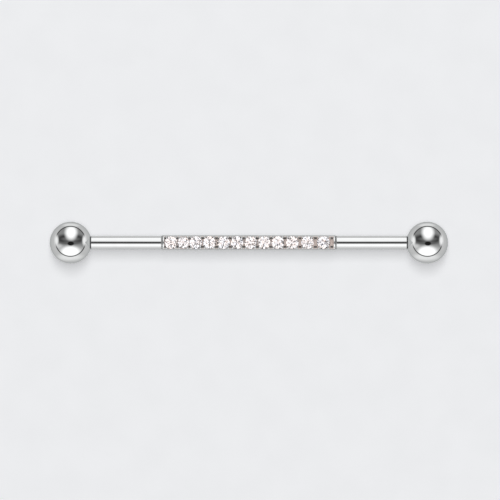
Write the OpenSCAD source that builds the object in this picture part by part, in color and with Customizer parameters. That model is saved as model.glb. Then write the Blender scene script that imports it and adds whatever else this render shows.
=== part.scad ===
// Industrial barbell: a straight body jewel for two piercings, with a row of stones set along its middle.
// The bar lies along X with its stones facing up, and rests on its two balls, whose lowest points are at z = 0.

/* [Bar] */
// Thickness of the bar: 14 gauge
bar_d = 1.6; // [1.5:0.1:2]
// Wearing length, from the shoulder at one ball to the shoulder at the other
wear_length = 38; // [28:1:60]
// Chamfer round each shoulder
shoulder_chamfer = 0.1; // [0.04:0.02:0.14]

/* [Screw studs] */
// Thickness of the stud over its thread
stud_d = 1.2; // [0.8:0.1:1.3]
// Length of the stud
stud_length = 2.6; // [1.6:0.1:3.2]
// Chamfer round the tip of the stud
stud_chamfer = 0.15; // [0.05:0.05:0.3]

/* [Balls] */
// Diameter of each ball
ball_d = 5; // [4.5:0.5:8]
// Clearance round the stud in the bore of the ball
thread_clearance = 0.04; // [0.02:0.01:0.1]
// Room in the bore beyond the tip of the stud
bore_spare = 0.3; // [0.1:0.1:0.6]
// Gap between the shoulder and the flat of the ball
ball_gap = 0.02; // [0.01:0.01:0.05]

/* [Setting] */
// Metal beside the widest stone, on each side of the row
side_margin = 0.135; // [0.1:0.01:0.3]
// Height of the flat that the stones sit in, over the middle of the bar
flat_rise = 0.48; // [0.4:0.02:0.6]
// Metal between the left end of the setting and the first stone's cell
left_margin = 0.3; // [0.28:0.02:0.6]
// Metal between the last stone's cell and the right end of the setting
right_margin = 0.49; // [0.28:0.02:0.8]
// Length of the raised rim at each end
rim_length = 0.24; // [0.16:0.02:0.28]
// Chamfer round each end of the setting
rim_chamfer = 0.06; // [0.02:0.01:0.08]
// Width of the solder groove beside each end of the setting, which narrows to nothing at its bottom
groove_w = 0.08; // [0.04:0.01:0.15]
// Depth of that groove in the bar
groove_depth = 0.04; // [0.02:0.01:0.08]
// How much further out the setting reaches at its middle than at its ends, as polishing wears the ends more
setting_swell = 0.01; // [0.005:0.005:0.02]

/* [Beads] */
// Diameter of each bead
bead_d = 0.3; // [0.24:0.02:0.36]
// Height of the top of a bead over the middle of the stone's edge
bead_rise = 0.13; // [0.08:0.01:0.18]
// Length that a bead reaches over the edge of its stone
bead_grip = 0.04; // [0.02:0.01:0.06]
// Direction of a bead seen from its stone, in degrees from the line of the bar
bead_angle = 49; // [44:1:54]
// Metal taken off the foot of a bead all round, below its ball
bead_neck = 0.02; // [0.01:0.01:0.04]
// Depth that the foot of a bead goes down below the flat
bead_foot = 0.25; // [0.2:0.05:0.4]

/* [Stones] */
// Diameter of a full stone
stone_d = 1.5; // [1.3:0.05:1.6]
// Clearance round a stone in its seat
seat_gap = 0.03; // [0.02:0.01:0.05]
// Height of the middle of a stone's edge over the flat
stone_rise = 0.02; // [0:0.01:0.06]
// Thickness of a full stone's edge
girdle_h = 0.045; // [0.03:0.005:0.08]
// Width of the table on top of a full stone, from corner to corner
table_d = 0.855; // [0.75:0.005:0.95]
// Slope of the eight large facets on top, in degrees
bezel_slope = 34.5; // [30:0.5:36]
// Slope of the sixteen facets over the edge, in degrees
upper_slope = 40.5; // [39:0.5:44]
// Slope of the eight small facets round the table, in degrees
star_slope = 21.5; // [18:0.5:24]
// Slope of the eight large facets underneath, in degrees
main_slope = 40.8; // [38:0.2:41.4]
// Slope of the sixteen facets under the edge, in degrees
lower_slope = 42; // [41.6:0.2:44]
// Blunt tip of a full stone, from flat to flat
culet_d = 0.03; // [0.01:0.01:0.06]

/* [Hidden] */
// One row for each stone from the left: the length of its cell along the bar and its diameter, both as
// shares of stone_d, and its turn in the seat in degrees
CELL = 0;
SIZE = 1;
TURN = 2;
STONES = [
    [1.045, 1.0, 8],
    [0.920, 0.9, 31],
    [1.055, 1.0, 17],
    [1.125, 1.0, 2],
    [1.120, 1.0, 38],
    [1.070, 1.0, 22],
    [1.080, 1.0, 12],
    [1.080, 1.0, 34],
    [1.120, 1.0, 5],
    [1.190, 1.0, 26],
    [1.235, 1.0, 41],
    [1.320, 1.0, 14],
];

function stone_name(i) = str("stone_", i < 9 ? "0" : "", i + 1);

$fn = 96;
// Half-angle between neighbours in a ring of sixteen facets
FACET_STEP = 360 / 32;
// Room that a cutting tool has past what it cuts
spare = 1;

ball_r = ball_d / 2;
axis_z = ball_r;
shoulder_x = wear_length / 2;
stud_tip_x = shoulder_x + stud_length;
// The flat on the ball is as wide as the bar, which sets how far its centre lies from the flat
ball_x = shoulder_x + ball_gap + sqrt(pow(ball_r, 2) - pow(bar_d / 2, 2));

// Place along the row where stone i's cell begins, from the start of the first cell
function cell_start(i) = i == 0 ? 0 : cell_start(i - 1) + STONES[i - 1][CELL] * stone_d;
setting_length = left_margin + cell_start(len(STONES)) + right_margin;
setting_end = setting_length / 2;
setting_r = stone_d / 2 + side_margin;
end_r = setting_r - setting_swell;
function stone_x(i) = -setting_end + left_margin + cell_start(i) + STONES[i][CELL] * stone_d / 2;
function stone_r(i) = STONES[i][SIZE] * stone_d / 2;
edge_z = axis_z + flat_rise + stone_rise;

// Heights on a stone of radius r, measured from the middle of its edge. The large facets start a little
// past the thin places of the edge, so that they meet the smaller ones in points.
function full_share(r) = 2 * r / stone_d;
function edge_half(r) = full_share(r) * girdle_h / 2;
function table_r(r) = full_share(r) * table_d / 2;
function bezel_start(r) = edge_half(r) + r * (1 - cos(FACET_STEP)) * tan(upper_slope);
function main_start(r) = edge_half(r) + r * (1 - cos(FACET_STEP)) * tan(lower_slope);
function table_h(r) = bezel_start(r) + (r - table_r(r)) * tan(bezel_slope);
function tip_h(r) = main_start(r) + (r - full_share(r) * culet_d / 2) * tan(main_slope);

// An eight-sided pyramid whose faces slope down outwards, each through the point at the given radius and
// height, and which reaches well below the stone
module pyramid(first_turn, slope, radius, height) {
    half_side = 360 / 16;
    top = height + radius * tan(slope);
    base = -2 * stone_d;
    translate([0, 0, base])
        rotate([0, 0, first_turn + half_side])
            cylinder(r1 = (top - base) / tan(slope) / cos(half_side), r2 = 0, h = top - base, $fn = 8);
}

// A round brilliant of radius r, with the middle of its edge at z = 0: what is common to the pyramids of
// its rings of facets
module brilliant(r) {
    intersection() {
        translate([0, 0, -tip_h(r)])
            cylinder(r = r, h = tip_h(r) + table_h(r));
        pyramid(0, bezel_slope, r, bezel_start(r));
        pyramid(FACET_STEP, upper_slope, r, edge_half(r));
        pyramid(-FACET_STEP, upper_slope, r, edge_half(r));
        pyramid(2 * FACET_STEP, star_slope, table_r(r) * cos(2 * FACET_STEP), table_h(r));
        mirror([0, 0, 1]) {
            intersection() {
                pyramid(0, main_slope, r, main_start(r));
                pyramid(FACET_STEP, lower_slope, r, edge_half(r));
                pyramid(-FACET_STEP, lower_slope, r, edge_half(r));
            }
        }
    }
}

// The round room that a stone of radius r needs, with seat_gap all round it and open at the top
module stone_room(r) {
    wall_r = r + seat_gap;
    // A sloping wall moved out by the gap crosses the upright wall this much further from the edge
    function shift(slope) = seat_gap * (1 / cos(slope) - tan(slope));
    low = main_start(r) + shift(main_slope);
    high = bezel_start(r) + shift(bezel_slope);
    rotate_extrude()
        polygon([
            [0, -low - wall_r * tan(main_slope)],
            [wall_r, -low],
            [wall_r, high],
            [table_r(r), high + (wall_r - table_r(r)) * tan(bezel_slope)],
            [0, high + (wall_r - table_r(r)) * tan(bezel_slope)],
        ]);
}

// Half of the outline that the bar is turned to, from the middle to one end, as [radius, place along the bar]
half_outline = [
    [setting_r, 0],
    [end_r, setting_end - rim_chamfer],
    [end_r - rim_chamfer, setting_end],
    [bar_d / 2 - groove_depth, setting_end],
    [bar_d / 2, setting_end + groove_w],
    [bar_d / 2, shoulder_x - shoulder_chamfer],
    [bar_d / 2 - shoulder_chamfer, shoulder_x],
    [stud_d / 2, shoulder_x],
    [stud_d / 2, stud_tip_x - stud_chamfer],
    [stud_d / 2 - stud_chamfer, stud_tip_x],
    [0, stud_tip_x],
];

module turned_bar() {
    last = len(half_outline) - 1;
    mirrored_half = [for (i = [last:-1:1]) [half_outline[i][0], -half_outline[i][1]]];
    rotate([0, 90, 0])
        rotate_extrude()
            polygon(concat(half_outline, mirrored_half));
}

// The space over the flat, between the two end rims
module flat_cut() {
    length = setting_length - 2 * rim_length;
    translate([-length / 2, -setting_r - spare, flat_rise])
        cube([length, 2 * (setting_r + spare), setting_r + spare]);
}

// One bead on its foot, with the middle of the stone's edge at z = 0
module bead() {
    foot_z = -stone_rise - bead_foot;
    ball_z = bead_rise - bead_d / 2;
    translate([0, 0, ball_z])
        sphere(d = bead_d);
    translate([0, 0, foot_z])
        cylinder(r = bead_d / 2 - bead_neck, h = ball_z - foot_z);
}

// The four beads round stone i
module beads(i) {
    reach = stone_r(i) + bead_d / 2 - bead_grip;
    translate([stone_x(i), 0, edge_z])
        for (side = [-1, 1], end = [-1, 1])
            translate([end * reach * cos(bead_angle), side * reach * sin(bead_angle), 0])
                bead();
}

module bar() {
    color("gainsboro")
        difference() {
            union() {
                translate([0, 0, axis_z])
                    difference() {
                        turned_bar();
                        flat_cut();
                    }
                for (i = [0:len(STONES) - 1])
                    beads(i);
            }
            for (i = [0:len(STONES) - 1])
                translate([stone_x(i), 0, edge_z])
                    stone_room(stone_r(i));
        }
}

// A ball on the end of the bar that points to side: -1 is left and 1 is right
module ball(side) {
    flat_x = shoulder_x + ball_gap;
    bore_end = stud_tip_x + bore_spare;
    color("silver")
        translate([0, 0, axis_z])
            mirror([side < 0 ? 1 : 0, 0, 0])
                rotate([0, 90, 0])
                    difference() {
                        translate([0, 0, ball_x])
                            sphere(r = ball_r);
                        translate([-ball_r, -ball_r, flat_x - spare])
                            cube([ball_d, ball_d, spare]);
                        translate([0, 0, flat_x - spare])
                            cylinder(d = stud_d + 2 * thread_clearance, h = bore_end - flat_x + spare);
                    }
}

module left_ball() {
    ball(-1);
}

module right_ball() {
    ball(1);
}

module stone(i) {
    color("aliceblue")
        translate([stone_x(i), 0, edge_z])
            rotate([0, 0, STONES[i][TURN]])
                brilliant(stone_r(i));
}

bar();
left_ball();
right_ball();
for (i = [0:len(STONES) - 1])
    stone(i);
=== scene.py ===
# %% [markdown]
# # Dressing an industrial barbell
# The real object is a straight body jewel of polished surgical steel. A round bar carries a screwed-on ball
# at each end and a row of twelve round stones set along its middle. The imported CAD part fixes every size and
# place. Here the round metal is turned again with many more steps, because a mirror finish shows every facet
# of a coarse mesh, and each surface gets the material of the real one. Lengths are worked in millimetres.

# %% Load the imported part
import math

import bmesh
import bpy
import numpy as np
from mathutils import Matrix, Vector


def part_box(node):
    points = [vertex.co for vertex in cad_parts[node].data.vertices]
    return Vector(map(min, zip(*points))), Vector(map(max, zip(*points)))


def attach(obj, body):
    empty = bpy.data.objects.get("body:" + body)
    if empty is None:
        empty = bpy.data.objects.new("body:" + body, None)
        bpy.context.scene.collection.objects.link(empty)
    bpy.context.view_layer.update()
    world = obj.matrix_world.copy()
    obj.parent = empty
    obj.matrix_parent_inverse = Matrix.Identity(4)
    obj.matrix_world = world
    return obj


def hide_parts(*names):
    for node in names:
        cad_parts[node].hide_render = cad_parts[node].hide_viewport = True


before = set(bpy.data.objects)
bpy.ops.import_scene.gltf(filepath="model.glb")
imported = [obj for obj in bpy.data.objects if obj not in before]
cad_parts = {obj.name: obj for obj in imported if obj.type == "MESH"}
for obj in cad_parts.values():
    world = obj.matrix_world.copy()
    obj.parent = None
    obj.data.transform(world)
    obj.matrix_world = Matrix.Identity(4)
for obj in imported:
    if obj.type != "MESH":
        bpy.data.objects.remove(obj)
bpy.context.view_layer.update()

MM = 0.001
print("nodes:", sorted(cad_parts))


# %% [markdown]
# ## Looking straight down
# The stones sit in the middle of the bar, with as much metal on the far side of them as on the near side, so
# the jewel is seen from straight above. A new camera looks straight down already, and only has to be lifted.
# A long lens keeps the two ends of the bar as wide as its middle, so nothing looks nearer than it is.

# %% The camera
AXIS_Z = 2.5
FRAME_WIDTH = 60.0
LENS = 400
SENSOR = 36
NEAREST = 10
FURTHEST = 10000
# The jewel lies a little above the middle of the picture
AIM = Vector((0.13, -0.89, AXIS_Z)) * MM
UP = Vector((0, 0, 1))

camera_data = bpy.data.cameras.new("camera")
camera_data.lens = LENS
camera_data.sensor_width = SENSOR
camera_data.clip_start = NEAREST * MM
camera_data.clip_end = FURTHEST * MM
camera = bpy.data.objects.new("camera", camera_data)
bpy.context.scene.collection.objects.link(camera)
distance = FRAME_WIDTH * MM / SENSOR * LENS
camera.location = AIM + UP * distance
bpy.context.scene.camera = camera
print("camera is", round(distance / MM), "mm away")


# %% [markdown]
# ## Turning on a lathe
# Most of the metal here was turned: the bar, its studs and the balls. A lathe makes a skin from an outline,
# which is a list of places along the axis with a radius for each. Blender has a Screw modifier for this, but
# a few lines of our own also let the radius change with the angle, and that is all a screw thread is.

# %% A lathe
ROUND_STEPS = 128


def new_piece(name, verts, faces):
    mesh = bpy.data.meshes.new(name)
    mesh.from_pydata([Vector(v) * MM for v in verts], [], faces)
    skin = bmesh.new()
    skin.from_mesh(mesh)
    bmesh.ops.recalc_face_normals(skin, faces=skin.faces)
    skin.to_mesh(mesh)
    skin.free()
    piece = bpy.data.objects.new(name, mesh)
    bpy.context.scene.collection.objects.link(piece)
    return piece


def join_rings(rings, steps):
    # Faces between each ring and the next, with three corners where one of the rings is a single point
    faces = []
    for ring, after in zip(rings, rings[1:]):
        for step in range(steps):
            step_after = (step + 1) % steps
            corners = [ring[step], ring[step_after], after[step_after], after[step]]
            faces.append(list(dict.fromkeys(corners)))
    return faces


def turn(name, outline, worked):
    # worked(place, radius, angle) is the radius there once threads and the like are cut
    verts, rings = [], []
    for place, radius in outline:
        if radius == 0:
            rings.append([len(verts)] * ROUND_STEPS)
            verts.append((place, 0, AXIS_Z))
            continue
        rings.append(range(len(verts), len(verts) + ROUND_STEPS))
        for step in range(ROUND_STEPS):
            angle = 2 * math.pi * step / ROUND_STEPS
            cut_radius = worked(place, radius, angle)
            verts.append((place, cut_radius * math.cos(angle), AXIS_Z + cut_radius * math.sin(angle)))
    return new_piece(name, verts, join_rings(rings, ROUND_STEPS))


print("steps round each turned skin:", ROUND_STEPS)


# %% [markdown]
# ## The screw thread
# Each ball unscrews, so the bar ends in two threaded studs and each ball has a threaded bore. The thread is
# the standard one for a stud of 1.2 mm, with a pitch of 0.25 mm. Its flanks stand at about 60 degrees to
# each other, with a narrow flat on top of the ridge and a wider one in the groove. The bore's thread is
# drawn just clear of the stud's.

# %% Thread shape
THREAD_PITCH = 0.25
THREAD_DEPTH = 0.13
STATIONS_PER_TURN = 14
# Shares of the way from the middle of a ridge to the middle of the groove, which is half a pitch
CREST_END = 0.125
ROOT_START = 0.75


def groove_share(place, angle, start, end):
    # How deep the groove is here, from 0 on a ridge to 1 at its bottom, fading out over one turn at each end
    within_pitch = (place / THREAD_PITCH - angle / (2 * math.pi)) % 1
    from_ridge = 2 * abs(within_pitch - 0.5)
    depth = min(max((from_ridge - CREST_END) / (ROOT_START - CREST_END), 0), 1)
    fade = min((place - start) / THREAD_PITCH, (end - place) / THREAD_PITCH, 1)
    return depth * max(fade, 0)


def thread_stations(start, end):
    count = round((end - start) / THREAD_PITCH * STATIONS_PER_TURN)
    return np.linspace(start, end, count + 1)


flank_length = (ROOT_START - CREST_END) * THREAD_PITCH / 2
print("flanks:", round(2 * math.degrees(math.atan(flank_length / THREAD_DEPTH))), "degrees to each other")


# %% [markdown]
# ## The balls
# A ball on the real jewel is turned from rod and polished to a mirror. It has a small flat where it meets
# the bar, as wide as the bar, and a blind bore with a thread. A UV sphere would leave a pole in view and no
# bore, so the ball goes on the lathe too. The steps lie close enough that no edge shows in the reflections.

# %% The outline of a ball
SHOULDER_X = 19.0
BALL_GAP = 0.02
BALL_R = 2.5
BALL_STEPS = 72
BORE_R = 0.64
BORE_END = 21.9
BORE_CHAMFER = 0.06
EDGE_ROUND = 0.03
# The middle of the rounding, in shares of it: out from the flat, and in from where its corner would be
ROUND_OUT = 0.2
ROUND_IN = 0.3

flat_x = SHOULDER_X + BALL_GAP
ball_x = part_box("right_ball")[1].x / MM - BALL_R
bore_mouth = flat_x + BORE_CHAMFER


def ball_outline():
    outline = [(BORE_END, 0), (BORE_END, BORE_R)]
    outline += [(place, BORE_R) for place in reversed(thread_stations(bore_mouth, BORE_END)[:-1])]
    outline.append((flat_x, BORE_R + BORE_CHAMFER))
    # The flat turns into the sphere with a tiny rounding, as polishing leaves it
    flat_angle = math.acos((ball_x - flat_x) / BALL_R)
    flat_r = BALL_R * math.sin(flat_angle)
    outline.append((flat_x, flat_r - EDGE_ROUND))
    outline.append((flat_x + ROUND_OUT * EDGE_ROUND, flat_r - ROUND_IN * EDGE_ROUND))
    first = flat_angle + EDGE_ROUND / BALL_R
    for angle in np.linspace(first, math.pi, BALL_STEPS)[:-1]:
        outline.append((ball_x - BALL_R * math.cos(angle), BALL_R * math.sin(angle)))
    outline.append((ball_x + BALL_R, 0))
    return outline


print("the middle of the right ball is at", round(ball_x, 3), "mm")


# %% Turn the balls
def threaded_bore(place, radius, angle):
    if radius != BORE_R:
        return radius
    return BORE_R + THREAD_DEPTH * groove_share(place, angle, bore_mouth, BORE_END)


right_ball = turn("right_ball_steel", ball_outline(), threaded_bore)
left_ball = right_ball.copy()
left_ball.data = right_ball.data.copy()
left_ball.name = "left_ball_steel"
bpy.context.scene.collection.objects.link(left_ball)
# Half a turn about the upright axis, as a mirror image would have a left-hand thread
for vertex in left_ball.data.vertices:
    vertex.co.x = -vertex.co.x
    vertex.co.y = -vertex.co.y
print("ball:", len(right_ball.data.polygons), "faces")


# %% [markdown]
# ## The bar
# One outline runs from stud tip to stud tip. Between the studs comes the plain bar, then a fine solder
# groove, and then the wider part that carries the stones. At each end of it, a narrow rim stays standing
# when the top is filed flat. The setting was cast, soldered to the bar and polished, so the rim's outer edge
# slopes softly to the groove.

# %% Sizes of the bar
BAR_R = 0.8
SHOULDER_CHAMFER = 0.1
SHOULDER_STEPS = 6
STUD_R = 0.6
STUD_TIP = 21.6
STUD_CHAMFER = 0.15
# Plain stud between the shoulder and the thread
THREAD_RELIEF = 0.1
SETTING_END = 10.415
SETTING_R = 0.885
END_R = 0.875
SETTING_STEPS = 20
# Where the swelling stretch stops, short of the rim
RIM_CLEAR = 0.01
RIM_LENGTH = 0.24
RIM_SLOPE = 0.11
RIM_SLOPE_DROP = 0.05
RIM_STEPS = 6
# Over 1, so that the slope steepens on its way to the groove
RIM_BEND = 1.2
GROOVE_W = 0.08
GROOVE_DEPTH = 0.04
# Plain bar beyond the groove that the solder ran on to
SOLDER_SPREAD = 0.05

rim_start = SETTING_END - RIM_LENGTH
slope_start = SETTING_END - RIM_SLOPE
seam_end = SETTING_END + GROOVE_W + SOLDER_SPREAD
stud_start = SHOULDER_X + THREAD_RELIEF
stud_end = STUD_TIP - STUD_CHAMFER
print("each seam is", round(seam_end - slope_start, 3), "mm long")


# %% Turn the bar
def arc(centre, radius, first, last, steps):
    angles = np.radians(np.linspace(first, last, steps + 1))
    return [(centre[0] + radius * math.cos(a), centre[1] + radius * math.sin(a)) for a in angles]


def half_bar():
    half = []
    for place in np.linspace(0, rim_start - RIM_CLEAR, SETTING_STEPS + 1)[1:]:
        half.append((place, SETTING_R - (SETTING_R - END_R) * place / slope_start))
    half.append((rim_start, END_R))
    for share in np.linspace(0, 1, RIM_STEPS + 1):
        half.append((slope_start + RIM_SLOPE * share, END_R - RIM_SLOPE_DROP * share**RIM_BEND))
    half.append((SETTING_END, BAR_R - GROOVE_DEPTH))
    half += [(SETTING_END + GROOVE_W, BAR_R), (seam_end, BAR_R)]
    shoulder_middle = (SHOULDER_X - SHOULDER_CHAMFER, BAR_R - SHOULDER_CHAMFER)
    half += arc(shoulder_middle, SHOULDER_CHAMFER, 90, 0, SHOULDER_STEPS)
    half.append((SHOULDER_X, STUD_R))
    half += [(place, STUD_R) for place in thread_stations(stud_start, stud_end)]
    half.append((STUD_TIP, STUD_R - STUD_CHAMFER))
    half.append((STUD_TIP, 0))
    return half


def threaded_studs(place, radius, angle):
    if radius != STUD_R or not stud_start < abs(place) < stud_end:
        return radius
    # The left stud is the right one turned about the upright axis, so both are right-hand threads
    turned = angle if place > 0 else math.pi - angle
    return STUD_R - THREAD_DEPTH * groove_share(abs(place), turned, stud_start, stud_end)


right_half = half_bar()
left_half = [(-place, radius) for place, radius in reversed(right_half)]
bar = turn("shaded_bar_steel", left_half + [(0, SETTING_R)] + right_half, threaded_studs)
print("bar:", len(bar.data.polygons), "faces before the setting is cut")


# %% [markdown]
# ## Cutting the setting
# The jeweller files a flat along the top, drills a conical seat for each stone, and raises four small beads
# of metal round it, which are pushed over its edge. Blender can do the same with booleans: take the flat and
# the graver's grooves away, add the beads, and drill the seats last, so that each bead is also cut back to
# the room that its stone needs. The stones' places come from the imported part.

# %% Where the stones sit
FLAT_RISE = 0.48
STONE_RISE = 0.02

flat_z = AXIS_Z + FLAT_RISE
edge_z = flat_z + STONE_RISE
stone_names = sorted(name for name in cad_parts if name.startswith("stone_"))
# The place of each stone along the bar, and its radius
stones = []
for name in stone_names:
    low, high = (Vector(corner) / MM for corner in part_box(name))
    stones.append(((low.x + high.x) / 2, (high.y - low.y) / 2))
print("stones:", [(round(x, 2), round(r, 2)) for x, r in stones])


# %% The room that a stone needs
FULL_R = 0.75
TABLE_SHARE = 0.57
SEAT_GAP = 0.03
GIRDLE = 0.045
EDGE_FACETS = 16
# Slopes of a stone's facets: the large ones on top, those over its edge, the large ones below, those under it
CROWN_SLOPE = math.radians(34.5)
EDGE_SLOPE = math.radians(40.5)
PAVILION_SLOPE = math.radians(40.8)
LOWER_SLOPE = math.radians(42)


def seat_outline(r):
    size = r / FULL_R
    wall = r + SEAT_GAP
    table = TABLE_SHARE * r
    # The large facets start a little past the thin places of the edge
    rise = r * (1 - math.cos(math.pi / EDGE_FACETS))
    low = size * GIRDLE / 2 + rise * math.tan(LOWER_SLOPE)
    low += SEAT_GAP * (1 / math.cos(PAVILION_SLOPE) - math.tan(PAVILION_SLOPE))
    high = size * GIRDLE / 2 + rise * math.tan(EDGE_SLOPE)
    high += SEAT_GAP * (1 / math.cos(CROWN_SLOPE) - math.tan(CROWN_SLOPE))
    tip = low + wall * math.tan(PAVILION_SLOPE)
    top = high + (wall - table) * math.tan(CROWN_SLOPE)
    heights = [(0, -tip), (wall, -low), (wall, high), (table, top), (0, top)]
    return [(radius, edge_z + height) for radius, height in heights]


print("a full seat is", round(edge_z - seat_outline(FULL_R)[0][1], 2), "mm deep below the stone's edge")


# %% Seats for the stones
SEAT_STEPS = 64


def upright_turns(name, outline_places, steps):
    # Closed skins round upright lines, each through (radius, height) points that start and end at radius 0
    verts, faces = [], []
    for outline, x, y in outline_places:
        rings = []
        for radius, height in outline:
            if radius == 0:
                rings.append([len(verts)] * steps)
                verts.append((x, y, height))
                continue
            rings.append(range(len(verts), len(verts) + steps))
            for step in range(steps):
                angle = 2 * math.pi * step / steps
                verts.append((x + radius * math.cos(angle), y + radius * math.sin(angle), height))
        faces += join_rings(rings, steps)
    return new_piece(name, verts, faces)


# Neighbouring seats meet, and a boolean's tool may not cut through itself, so every second seat is one tool
seat_places = [(seat_outline(r), x, 0) for x, r in stones]
seats = [upright_turns(f"seats_{i}", seat_places[i::2], SEAT_STEPS) for i in (0, 1)]
print("seats:", [len(tool.data.polygons) for tool in seats], "faces")


# %% Beads that hold them
BEAD_R = 0.15
BEAD_RISE = 0.13
BEAD_GRIP = 0.04
BEAD_ANGLE = math.radians(49)
BEAD_NECK = 0.02
BEAD_FOOT = 0.25
BEAD_RINGS = 10
BEAD_STEPS = 24


def bead_outline():
    middle = edge_z + BEAD_RISE - BEAD_R
    foot = edge_z - STONE_RISE - BEAD_FOOT
    neck = BEAD_R - BEAD_NECK
    neck_z = middle - math.sqrt(BEAD_R**2 - neck**2)
    outline = [(0, foot), (neck, foot), (neck, neck_z)]
    first = math.asin((neck_z - middle) / BEAD_R)
    for angle in np.linspace(first, math.pi / 2, BEAD_RINGS + 1)[1:-1]:
        outline.append((BEAD_R * math.cos(angle), middle + BEAD_R * math.sin(angle)))
    return outline + [(0, middle + BEAD_R)]


bead_places = []
for x, r in stones:
    reach = r + BEAD_R - BEAD_GRIP
    for end in (-1, 1):
        for side in (-1, 1):
            along = end * reach * math.cos(BEAD_ANGLE)
            across = side * reach * math.sin(BEAD_ANGLE)
            bead_places.append((bead_outline(), x + along, across))
beads = upright_turns("beads", bead_places, BEAD_STEPS)
print("beads:", len(bead_places))


# %% Grooves between the stones
# The jeweller raises the beads by cutting away the metal between them with a V-shaped graver, on each side
GRAVER_SLOPE = math.radians(32)
GRAVER_HALF_WIDTH = 0.16
# The cut runs between these distances from the middle of the bar
GRAVER_FROM = 0.4
GRAVER_TO = 0.63
# How far the cutting tool stands over the flat
GRAVER_ROOM = 1

graver_depth = GRAVER_HALF_WIDTH * math.tan(GRAVER_SLOPE)


def add_prism(verts, faces, near, far):
    # A solid between two outlines that have the same number of corners
    first = len(verts)
    count = len(near)
    verts += near + far
    faces.append([first + i for i in range(count)])
    faces.append([first + 2 * count - 1 - i for i in range(count)])
    for i in range(count):
        after = (i + 1) % count
        faces.append([first + i, first + count + i, first + count + after, first + after])


def graver_section(x, y):
    # Five corners, with the point of the V in the middle and upright walls over the flat
    left = x - GRAVER_HALF_WIDTH
    right = x + GRAVER_HALF_WIDTH
    top = flat_z + GRAVER_ROOM
    point = (x, y, flat_z - graver_depth)
    return [(left, y, top), (left, y, flat_z), point, (right, y, flat_z), (right, y, top)]


# A gap runs from one stone's edge to the next one's, and the first and the last from or to a rim. A cut lies
# in the middle of its gap, but never reaches into a rim.
gap_ends = [-rim_start] + [x + side * r for x, r in stones for side in (-1, 1)] + [rim_start]
furthest = rim_start - GRAVER_HALF_WIDTH
graver_verts, graver_faces = [], []
for gap_start, gap_end in zip(gap_ends[::2], gap_ends[1::2]):
    middle = min(max((gap_start + gap_end) / 2, -furthest), furthest)
    for side in (-1, 1):
        near = graver_section(middle, side * GRAVER_FROM)
        far = graver_section(middle, side * GRAVER_TO)
        add_prism(graver_verts, graver_faces, near, far)
graver_cuts = new_piece("graver_cuts", graver_verts, graver_faces)
print("gaps with a graver's cut on each side:", len(gap_ends) // 2)


# %% Cut and join
FLAT_TOOL_HALF = 2
FLAT_TOOL_HEIGHT = 2
# Where skins cross, a boolean leaves a few edges that are far too short to show
SHORTEST = 0.0005 * MM


def flat_section(y):
    top = flat_z + FLAT_TOOL_HEIGHT
    return [(-rim_start, y, flat_z), (rim_start, y, flat_z), (rim_start, y, top), (-rim_start, y, top)]


flat_verts, flat_faces = [], []
add_prism(flat_verts, flat_faces, flat_section(-FLAT_TOOL_HALF), flat_section(FLAT_TOOL_HALF))
flat_tool = new_piece("flat_tool", flat_verts, flat_faces)

tools = [flat_tool, graver_cuts, beads, *seats]
for tool in tools:
    cut = bar.modifiers.new(tool.name, "BOOLEAN")
    cut.object = tool
    cut.operation = "UNION" if tool is beads else "DIFFERENCE"
    cut.solver = "MANIFOLD"
bpy.context.view_layer.update()
finished = bpy.data.meshes.new_from_object(bar.evaluated_get(bpy.context.evaluated_depsgraph_get()))
bar.modifiers.clear()
skin = bmesh.new()
skin.from_mesh(finished)
bmesh.ops.dissolve_degenerate(skin, dist=SHORTEST, edges=skin.edges)
skin.to_mesh(finished)
skin.free()
bar.data = finished
for tool in tools:
    bpy.data.objects.remove(tool)
print("bar:", len(bar.data.polygons), "faces when finished")


# %% [markdown]
# ## Round faces and crisp edges
# Polished metal shows each flat face of a mesh, so the round skins are shaded as if they were truly round.
# The edges that the file, the graver and the drill left stay crisp. Sorting edges by the angle between their
# two faces does both, and it needs no bevel, which would be finer here than anything that shows.

# %% Smooth the round faces
SHARP = math.radians(32)

for piece in (bar, left_ball, right_ball):
    piece.data.shade_smooth()
    piece.data.set_sharp_from_angle(angle=SHARP)
    print(piece.name, "has", sum(edge.use_edge_sharp for edge in piece.data.edges), "crisp edges")


# %% [markdown]
# ## Materials
# Colours are given as the sRGB hex values that an eye dropper would read, and one function turns them to the
# linear values that Blender works in. One small function adds a node, with its settings and its links.

# %% Colour and node helpers
def linear(hex_colour):
    # The sRGB curve is a short straight line in the dark and a power above it
    channels = [int(hex_colour[i : i + 2], 16) / 255 for i in (1, 3, 5)]
    return [c / 12.92 if c <= 0.04045 else ((c + 0.055) / 1.055) ** 2.4 for c in channels] + [1]


def add_node(tree, kind, settings=None, values=None, links=None):
    made = tree.nodes.new(kind)
    for name, value in (settings or {}).items():
        setattr(made, name, value)
    for name, value in (values or {}).items():
        made.inputs[name].default_value = value
    for name, source in (links or {}).items():
        tree.links.new(source, made.inputs[name])
    return made


def new_material(name):
    material = bpy.data.materials.new(name)
    material.use_nodes = True
    material.node_tree.nodes.clear()
    return material, material.node_tree


def dress(piece, material):
    piece.data.materials.clear()
    piece.data.materials.append(material)
    print(material.name, "is on", piece.name)


print("middle grey in linear light:", round(linear("#808080")[0], 3))


# %% [markdown]
# ## Polished surgical steel
# The metal is 316L surgical steel, turned and then polished on a cloth wheel with a fine compound. That
# leaves a mirror with a faint grey tone. What the eye reads is the reflection, and only a trace of wheel
# marks in it. Real marks lie a few thousandths of a millimetre apart, too fine to show, so they are drawn
# 0.15 mm apart and very shallow. Slow changes in roughness stand for where the wheel pressed harder. A
# metal mirrors more towards the outline of a round piece, but steel dips a little just before it. The tint
# of the specular edge stands for that dip, and darkens the outline of each ball a little.

# %% The nodes of steel
STEEL_EDGE = linear("#DADCDC")
WHEEL_MARK = 0.15 * MM
MARK_DEPTH = 0.0001 * MM
CLOUD = 1.2 * MM
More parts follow.
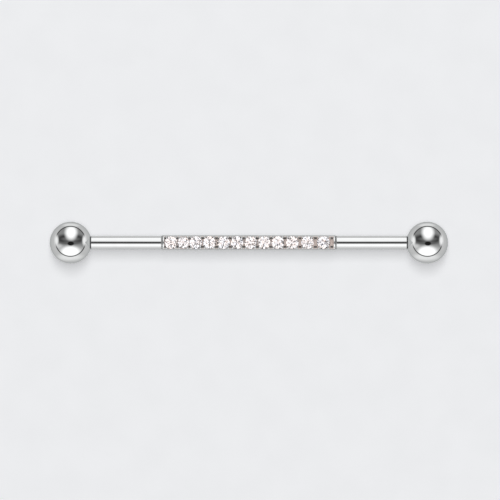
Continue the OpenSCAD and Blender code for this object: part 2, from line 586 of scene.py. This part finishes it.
# Nearly all of the noise lies between these, so they are where the finish is smoothest and roughest
NOISE_LOW = 0.3
NOISE_HIGH = 0.7


def steel(name, tones, smoothest, roughest, stretch=(1, 1, 1)):
    material, tree = new_material(name)
    place = add_node(tree, "ShaderNodeTexCoord")
    along = add_node(
        tree, "ShaderNodeMapping", values={"Scale": stretch}, links={"Vector": place.outputs["Object"]}
    )
    marks = add_node(
        tree,
        "ShaderNodeTexNoise",
        values={"Scale": 1 / WHEEL_MARK, "Detail": 3, "Roughness": 0.6},
        links={"Vector": along.outputs["Vector"]},
    )
    clouds = add_node(
        tree,
        "ShaderNodeTexNoise",
        values={"Scale": 1 / CLOUD, "Detail": 2},
        links={"Vector": place.outputs["Object"]},
    )
    tone = add_node(tree, "ShaderNodeValToRGB", links={"Fac": clouds.outputs["Fac"]})
    tone.color_ramp.elements[0].color = tones[0]
    tone.color_ramp.elements[1].color = tones[1]
    finish = add_node(
        tree,
        "ShaderNodeMapRange",
        values={"From Min": NOISE_LOW, "From Max": NOISE_HIGH, "To Min": smoothest, "To Max": roughest},
        links={"Value": clouds.outputs["Fac"]},
    )
    relief = add_node(
        tree,
        "ShaderNodeBump",
        values={"Strength": 1.0, "Distance": MARK_DEPTH},
        links={"Height": marks.outputs["Fac"]},
    )
    metal = add_node(
        tree,
        "ShaderNodeBsdfPrincipled",
        values={"Metallic": 1.0, "Specular Tint": STEEL_EDGE},
        links={
            "Base Color": tone.outputs["Color"],
            "Roughness": finish.outputs["Result"],
            "Normal": relief.outputs["Normal"],
        },
    )
    add_node(tree, "ShaderNodeOutputMaterial", links={"Surface": metal.outputs["BSDF"]})
    return material


print("wheel marks are", round(WHEEL_MARK / MM, 2), "mm apart and clouds", round(CLOUD / MM, 1), "mm")


# %% Polished steel
BALL_TONES = [linear("#DEDFDF"), linear("#E6E7E7")]
# The bar's tones are a darker copy of the balls': painted shade, for the darker reflections that the bar shows
BAR_SHADED_TONES = [linear("#D6D7D7"), linear("#DEDFDF")]
# The bar is polished lengthways, so each mark on it is ten times as long
LENGTHWAYS = (0.1, 1, 1)

ball_steel = steel("polished_316L_steel_ball", BALL_TONES, smoothest=0.02, roughest=0.04)
shaded_bar_steel = steel("polished_316L_steel_bar_shaded", BAR_SHADED_TONES, smoothest=0.012, roughest=0.03, stretch=LENGTHWAYS)
dress(bar, shaded_bar_steel)
dress(left_ball, ball_steel)
dress(right_ball, ball_steel)


# %% [markdown]
# ## Where the wheel doesn't reach, with painted shade and light
# The polishing wheel can't get between the stones, into the solder seams at both ends of the setting, or at
# the shoulders and threads that the balls cover. There the metal keeps the duller skin that the file, the
# graver, the solder or the lathe left, and the narrow rims are only buffed. The nodes are those of polished
# steel, with other tones and a rougher finish. The darker tones of the seams, the graver's cuts, the shoulders
# and the balls' flats are painted shade, for the shade in these narrow joints and cuts. A satin skin gathers
# light from all round, so it looks pale grey where a mirror would show the dark lens above it. The flat's
# warm tone is painted light, for the colours that the stones throw on it.

# %% Satin, buffed, soldered and machined metal, with painted shade and painted light
# The satin tones are warm and pale: painted light, the colours that the stones throw on the flat
SATIN_STONE_LIGHT_TONES = [linear("#F2E2DB"), linear("#ECE6E3")]
# The solder tones are darker than the polished steel: painted shade in the groove of each seam
SOLDER_SHADE_TONES = [linear("#B0B1B1"), linear("#BCBDBD")]
# The machined tones are dark: painted shade in the graver's cuts, at the shoulders and on the balls' flats
MACHINED_SHADE_TONES = [linear("#8E8F8F"), linear("#9A9B9B")]

satin = steel("filed_satin_steel", SATIN_STONE_LIGHT_TONES, smoothest=0.8, roughest=0.9)
buffed = steel("buffed_rim_steel", BALL_TONES, smoothest=0.25, roughest=0.3)
shaded_solder = steel("silver_solder_seam_painted_shade", SOLDER_SHADE_TONES, smoothest=0.4, roughest=0.5)
shaded_machined = steel("machined_316L_steel_painted_shade", MACHINED_SHADE_TONES, smoothest=0.25, roughest=0.35)
print("other finishes:", satin.name, buffed.name, shaded_solder.name, shaded_machined.name)


# %% Give them to the faces
# How near a height or a tilt has to be, and how level a face of the flat is
CLOSE = 0.01
LEVEL = 0.99

cut_level = math.cos(GRAVER_SLOPE)


def give(piece, material, chosen):
    # chosen(x, y, z, normal) says whether a face takes the material, with its middle in millimetres
    if material.name not in piece.data.materials:
        piece.data.materials.append(material)
    slot = piece.data.materials.find(material.name)
    faces = [face for face in piece.data.polygons if chosen(*(face.center / MM), face.normal)]
    for face in faces:
        face.material_index = slot
    print(material.name, "is on", len(faces), "faces of", piece.name)


def cut_by_graver(x, y, z, normal):
    return z < flat_z and abs(y) < GRAVER_TO and abs(normal.z - cut_level) < CLOSE


# The flat takes the satin steel, whose warm tone is painted light from the stones
give(bar, satin, lambda x, y, z, normal: normal.z > LEVEL and abs(z - flat_z) < CLOSE)
give(bar, buffed, lambda x, y, z, normal: rim_start < abs(x) < slope_start and z > flat_z)
# The seams take the darker solder tone, painted shade at the groove
give(bar, shaded_solder, lambda x, y, z, normal: slope_start < abs(x) < seam_end)
# The shoulders and the graver's cuts take the dark machined tone, which paints shade into these recesses
give(bar, shaded_machined, lambda x, y, z, normal: abs(x) > SHOULDER_X - SHOULDER_CHAMFER)
give(bar, shaded_machined, cut_by_graver)
# The balls' flats and bores take the same dark tone, painted shade where they meet the bar
for ball in (left_ball, right_ball):
    give(ball, shaded_machined, lambda x, y, z, normal: math.hypot(y, z - AXIS_Z) < BAR_R and abs(x) < ball_x)


# %% [markdown]
# ## Cut stones
# The stones are white cubic zirconia, a clear crystal cut with flat polished facets. It bends light far more
# than glass does, with an index of about 2.16, so most light that enters the top is thrown back out of it.
# The real crystal also splits white light into faint colours. Cycles bends all colours alike, so a slow
# pattern of very pale pink and blue stands for that fire.

# %% Cubic zirconia
ZIRCONIA_IOR = 2.16
FIRE_WARM = linear("#FFF0EA")
FIRE_COOL = linear("#F6F8FF")
FIRE_SIZE = 0.35 * MM
# The stone is warm where the noise is below the first of these, and cool where it is above the second
FIRE_FROM = 0.42
FIRE_TO = 0.58

zirconia, tree = new_material("cut_cubic_zirconia")
place = add_node(tree, "ShaderNodeTexCoord")
fire = add_node(
    tree,
    "ShaderNodeTexNoise",
    values={"Scale": 1 / FIRE_SIZE, "Detail": 1},
    links={"Vector": place.outputs["Object"]},
)
tint = add_node(tree, "ShaderNodeValToRGB", links={"Fac": fire.outputs["Fac"]})
tint.color_ramp.elements[0].position = FIRE_FROM
tint.color_ramp.elements[0].color = FIRE_WARM
tint.color_ramp.elements[1].position = FIRE_TO
tint.color_ramp.elements[1].color = FIRE_COOL
crystal = add_node(
    tree,
    "ShaderNodeBsdfPrincipled",
    values={"Roughness": 0.0, "IOR": ZIRCONIA_IOR, "Transmission Weight": 1.0},
    links={"Base Color": tint.outputs["Color"]},
)
add_node(tree, "ShaderNodeOutputMaterial", links={"Surface": crystal.outputs["BSDF"]})
for name in stone_names:
    dress(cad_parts[name], zirconia)


# %% [markdown]
# ## The floor
# The jewel lies on pale card on a light table, which shines through it. That is why its shadows are so
# light. The card is made as a wide flat plane, so that its edge never shows, and has a very faint mottling
# a few millimetres across.

# %% Pale card
CARD_LIGHT = linear("#E6E7E9")
CARD_SHADE = linear("#E4E5E7")
MOTTLE = 4 * MM
# The card is darkest where the noise is below the first of these, and lightest above the second
MOTTLE_FROM = 0.35
MOTTLE_TO = 0.65
TABLE_GLOW = 0.6

card, tree = new_material("pale_card")
place = add_node(tree, "ShaderNodeTexCoord")
mottle = add_node(
    tree,
    "ShaderNodeTexNoise",
    values={"Scale": 1 / MOTTLE, "Detail": 4},
    links={"Vector": place.outputs["Object"]},
)
shade = add_node(tree, "ShaderNodeValToRGB", links={"Fac": mottle.outputs["Fac"]})
shade.color_ramp.elements[0].position = MOTTLE_FROM
shade.color_ramp.elements[0].color = CARD_SHADE
shade.color_ramp.elements[1].position = MOTTLE_TO
shade.color_ramp.elements[1].color = CARD_LIGHT
paper = add_node(
    tree,
    "ShaderNodeBsdfPrincipled",
    values={"Roughness": 0.9, "Specular IOR Level": 0.1, "Emission Strength": TABLE_GLOW},
    links={"Base Color": shade.outputs["Color"], "Emission Color": shade.outputs["Color"]},
)
add_node(tree, "ShaderNodeOutputMaterial", links={"Surface": paper.outputs["BSDF"]})
print("mottling is", round(MOTTLE / MM), "mm across")


# %% Lay the card
CARD_HALF = 1500

card_corners = [Vector(corner) * CARD_HALF for corner in ((-1, -1, 0), (1, -1, 0), (1, 1, 0), (-1, 1, 0))]
floor = new_piece("floor", card_corners, [(0, 1, 2, 3)])
dress(floor, card)
# What the metal mirrors of the card is painted with the rest of the studio
floor.visible_glossy = False


# %% [markdown]
# ## The light on the card
# The shadow is soft, lies close round the jewel and falls towards the near side. So the light comes from a
# long narrow softbox that lies across the bar and leans to the far side. The metal doesn't mirror it: what
# it shows is painted on the world in the next step.

# %% A long softbox
SOFTBOX_AWAY = 1500 * MM
SOFTBOX_HALF_LENGTH = math.radians(20)
SOFTBOX_HALF_WIDTH = math.radians(8)
SOFTBOX_LEAN = math.radians(12)
SOFTBOX_WATTS = 11.6

lamp = bpy.data.lights.new("softbox", "AREA")
lamp.shape = "RECTANGLE"
lamp.size = 2 * SOFTBOX_AWAY * math.tan(SOFTBOX_HALF_WIDTH)
lamp.size_y = 2 * SOFTBOX_AWAY * math.tan(SOFTBOX_HALF_LENGTH)
lamp.energy = SOFTBOX_WATTS
softbox = bpy.data.objects.new("softbox", lamp)
bpy.context.scene.collection.objects.link(softbox)
softbox.location = Vector((0, math.sin(SOFTBOX_LEAN), math.cos(SOFTBOX_LEAN))) * SOFTBOX_AWAY
softbox.rotation_euler = (-SOFTBOX_LEAN, 0, 0)
softbox.visible_camera = False
softbox.visible_glossy = False
softbox.visible_transmission = False
print("softbox is", round(lamp.size / MM), "by", round(lamp.size_y / MM), "mm")


# %% [markdown]
# ## What the metal mirrors
# Polished steel has almost no look of its own: it shows the studio. So the studio is painted on the world,
# as soft patches of light. The easiest way to place them is to ask where on a mirror ball each direction
# shows. Seen from above, a ball shows a direction at the point whose normal is half-way between that
# direction and straight up, so each patch below has its middle and its half-size in radii of the ball.

# %% Where a direction shows on a mirror ball
# Takes the height away from a place on the ball, which leaves the place as seen from above
FROM_ABOVE = (1, 1, 0)

world = bpy.data.worlds.new("studio")
bpy.context.scene.world = world
world.use_nodes = True
world.cycles_visibility.diffuse = False
tree = world.node_tree
tree.nodes.clear()
direction = add_node(tree, "ShaderNodeTexCoord")
half_way = add_node(
    tree,
    "ShaderNodeVectorMath",
    settings={"operation": "ADD"},
    values={1: UP},
    links={0: direction.outputs["Generated"]},
)
normal = add_node(
    tree, "ShaderNodeVectorMath", settings={"operation": "NORMALIZE"}, links={0: half_way.outputs["Vector"]}
)
on_ball = add_node(
    tree,
    "ShaderNodeVectorMath",
    settings={"operation": "MULTIPLY"},
    values={1: FROM_ABOVE},
    links={0: normal.outputs["Vector"]},
)
print("a level direction shows at", round(math.sin(math.radians(90) / 2), 3), "of the ball's radius")


# %% Patches of light
# The Mix node keeps its colour sockets at these places
MIX_A = 6
MIX_B = 7
MIX_OUT = 2


def grey(brightness):
    return (brightness, brightness, brightness, 1)


def add_patches(patches, light):
    # A patch ends one half-size from its middle, and fades out over softness on both sides of that edge
    for name, middle, half_size, softness, brightness in patches:
        from_middle = add_node(
            tree,
            "ShaderNodeVectorMath",
            settings={"operation": "SUBTRACT", "label": name},
            values={1: (*middle, 0)},
            links={0: on_ball.outputs["Vector"]},
        )
        in_halves = add_node(
            tree,
            "ShaderNodeVectorMath",
            settings={"operation": "DIVIDE"},
            values={1: (*half_size, 1)},
            links={0: from_middle.outputs["Vector"]},
        )
        reach = add_node(
            tree,
            "ShaderNodeVectorMath",
            settings={"operation": "LENGTH"},
            links={0: in_halves.outputs["Vector"]},
        )
        cover = add_node(
            tree,
            "ShaderNodeMapRange",
            settings={"interpolation_type": "SMOOTHSTEP"},
            values={"From Min": 1 + softness, "From Max": 1 - softness},
            links={"Value": reach.outputs["Value"]},
        )
        painted = add_node(
            tree,
            "ShaderNodeMix",
            settings={"data_type": "RGBA"},
            values={MIX_B: grey(brightness)},
            links={0: cover.outputs["Result"], MIX_A: light},
        )
        print("patch:", name)
        light = painted.outputs[MIX_OUT]
    return light


# %% The studio above the card
STUDIO_GREY = 0.3
STUDIO_PATCHES = [
    # name, middle, half-size, softness, brightness
    ("near grey", (0.0, -0.6), (0.95, 0.47), 0.25, 0.6),
    ("dark ceiling", (0.0, 0.17), (0.69, 0.245), 0.33, 0.05),
    ("grey beside the lens", (0.02, 0.0), (0.4, 0.07), 0.7, 0.15),
    ("glow below the far softbox", (0.02, 0.17), (0.36, 0.09), 0.7, 0.23),
    ("far softbox", (0.03, 0.485), (0.27, 0.33), 0.45, 1.35),
    ("near softbox", (0.0, -0.46), (0.45, 0.275), 0.34, 1.4),
    ("left window", (-0.57, -0.18), (0.17, 0.1), 0.7, 0.75),
    ("lens", (0.02, -0.045), (0.15, 0.1), 0.25, 0.015),
]

studio = add_node(tree, "ShaderNodeRGB")
studio.outputs[0].default_value = grey(STUDIO_GREY)
studio_light = add_patches(STUDIO_PATCHES, studio.outputs[0])


# %% [markdown]
# ## The card in the metal
# Low down, each ball mirrors the card. A thin dark ring, with its middle a little above the ball's, is the
# edge of the card against the room. Inside it is the studio above, and outside it the card, brightest beyond
# and before the jewel and even underneath it. At both ends of the bar, a pale wall shows across the ring.

# %% The card
CARD_GREY = 0.66
CARD_PATCHES = [
    # name, middle, half-size, softness, brightness
    ("card beyond", (0.0, 0.85), (0.4, 0.08), 0.6, 0.95),
    ("card before", (-0.06, -0.7), (0.58, 0.15), 0.6, 1.0),
]
# How far down a direction points, from 0 when level to -1 straight down, where the card gets even
EVEN_FROM = -0.6
EVEN_TO = -0.92

card_below = add_node(tree, "ShaderNodeRGB")
card_below.outputs[0].default_value = grey(CARD_GREY)
card_light = add_patches(CARD_PATCHES, card_below.outputs[0])
axes = add_node(tree, "ShaderNodeSeparateXYZ", links={"Vector": direction.outputs["Generated"]})
underneath = add_node(
    tree,
    "ShaderNodeMapRange",
    settings={"interpolation_type": "SMOOTHSTEP"},
    values={"From Min": EVEN_FROM, "From Max": EVEN_TO},
    links={"Value": axes.outputs["Z"]},
)
whole_card = add_node(
    tree,
    "ShaderNodeMix",
    settings={"data_type": "RGBA"},
    links={0: underneath.outputs["Result"], MIX_A: card_light, MIX_B: card_below.outputs[0]},
)
print("the card gets even", round(math.degrees(math.asin(-EVEN_FROM))), "degrees below level")


# %% The ring and the walls
RING_MIDDLE = (0, 0.06, 0)
RING_R = 0.718
RING_GREY = 0.05
# From the ring's line to where it starts to fade, and to where it has faded out
RING_DARK = 0.009
RING_FADED = 0.036
WALL_PATCHES = [
    # name, middle, half-size, softness, brightness
    ("left wall", (-0.67, 0.1), (0.09, 0.23), 0.6, 1.1),
    ("right wall", (0.67, 0.1), (0.09, 0.23), 0.6, 1.1),
]

from_ring_middle = add_node(
    tree,
    "ShaderNodeVectorMath",
    settings={"operation": "DISTANCE"},
    values={1: RING_MIDDLE},
    links={0: on_ball.outputs["Vector"]},
)
to_ring, past_ring = [
    add_node(
        tree,
        "ShaderNodeMapRange",
        settings={"interpolation_type": "SMOOTHSTEP"},
        values={"From Min": RING_R + first, "From Max": RING_R + last},
        links={"Value": from_ring_middle.outputs["Value"]},
    )
    for first, last in ((-RING_FADED, -RING_DARK), (RING_DARK, RING_FADED))
]
ringed = add_node(
    tree,
    "ShaderNodeMix",
    settings={"data_type": "RGBA"},
    values={MIX_B: grey(RING_GREY)},
    links={0: to_ring.outputs["Result"], MIX_A: studio_light},
)
with_card = add_node(
    tree,
    "ShaderNodeMix",
    settings={"data_type": "RGBA"},
    links={
        0: past_ring.outputs["Result"],
        MIX_A: ringed.outputs[MIX_OUT],
        MIX_B: whole_card.outputs[MIX_OUT],
    },
)
mirrored = add_patches(WALL_PATCHES, with_card.outputs[MIX_OUT])


# %% [markdown]
# ## What the stones gather
# A brilliant gathers light from many sides at once, and each facet shows a different small part of the
# studio. Windows, lamps and dark gaps in the real one give it its sparkle. They would draw hard spots on the
# balls, so only light that has been through a stone finds them: bright and dark fields a few degrees across.

# %% Bright and dark fields
SPARKLE_SCALE = 12.0
SPARKLE_DARK = 0.12
SPARKLE_BRIGHT = 1.65
# A field is dark where the noise is below this share, and the edge between fields is this soft
DARK_SHARE = 0.47
SPARKLE_EDGE = 0.04

fields = add_node(
    tree,
    "ShaderNodeTexNoise",
    values={"Scale": SPARKLE_SCALE, "Detail": 1},
    links={"Vector": direction.outputs["Generated"]},
)
sparkle = add_node(
    tree,
    "ShaderNodeMapRange",
    settings={"interpolation_type": "SMOOTHSTEP"},
    values={
        "From Min": DARK_SHARE - SPARKLE_EDGE,
        "From Max": DARK_SHARE + SPARKLE_EDGE,
        "To Min": SPARKLE_DARK,
        "To Max": SPARKLE_BRIGHT,
    },
    links={"Value": fields.outputs["Fac"]},
)
print("fields are about", round(math.degrees(1 / SPARKLE_SCALE)), "degrees across")


# %% [markdown]
# ## Who sees what
# A ray knows how it came: from the camera, through a stone or off how many mirrors. So one world can show
# the metal its studio, the stones their sparkle and the camera a plain backdrop past the card. Light that
# two pieces of metal mirror in turn is kept pale and even, and the metal throws none of this light on to the
# card, where it would draw bright patches.

# %% Sort the rays
TWICE_MIRRORED = 0.95
BACKDROP = linear("#E4E5E7")
# A ray's depth is a whole number, so these tell none from one, and one from two
ONE_BOUNCE = 0.5
TWO_BOUNCES = 1.5

ray = add_node(tree, "ShaderNodeLightPath")
twice = add_node(
    tree,
    "ShaderNodeMath",
    settings={"operation": "GREATER_THAN"},
    values={1: TWO_BOUNCES},
    links={0: ray.outputs["Glossy Depth"]},
)
soft_twice = add_node(
    tree,
    "ShaderNodeMix",
    settings={"data_type": "RGBA"},
    values={MIX_B: grey(TWICE_MIRRORED)},
    links={0: twice.outputs["Value"], MIX_A: mirrored},
)
gathered = add_node(
    tree,
    "ShaderNodeMix",
    settings={"data_type": "RGBA"},
    links={
        0: ray.outputs["Is Transmission Ray"],
        MIX_A: soft_twice.outputs[MIX_OUT],
        MIX_B: sparkle.outputs["Result"],
    },
)
seen = add_node(
    tree,
    "ShaderNodeMix",
    settings={"data_type": "RGBA"},
    values={MIX_B: BACKDROP},
    links={0: ray.outputs["Is Camera Ray"], MIX_A: gathered.outputs[MIX_OUT]},
)
off_the_card = add_node(
    tree,
    "ShaderNodeMath",
    settings={"operation": "LESS_THAN"},
    values={1: ONE_BOUNCE},
    links={0: ray.outputs["Diffuse Depth"]},
)
glow = add_node(
    tree,
    "ShaderNodeBackground",
    links={"Color": seen.outputs[MIX_OUT], "Strength": off_the_card.outputs["Value"]},
)
add_node(tree, "ShaderNodeOutputWorld", links={"Surface": glow.outputs["Background"]})
# Shows white as white, where the default view would grey it
bpy.context.scene.view_settings.view_transform = "Standard"
print("the world has", len(tree.nodes), "nodes")


# %% [markdown]
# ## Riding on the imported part
# Each dressed piece stands for its CAD node and moves with that node's body, so a ball slides off its stud
# here just as it does in the simulation.

# %% Hand over to the frame
for piece, node in ((bar, "bar"), (left_ball, "left_ball"), (right_ball, "right_ball")):
    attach(piece, node)
    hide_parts(node)
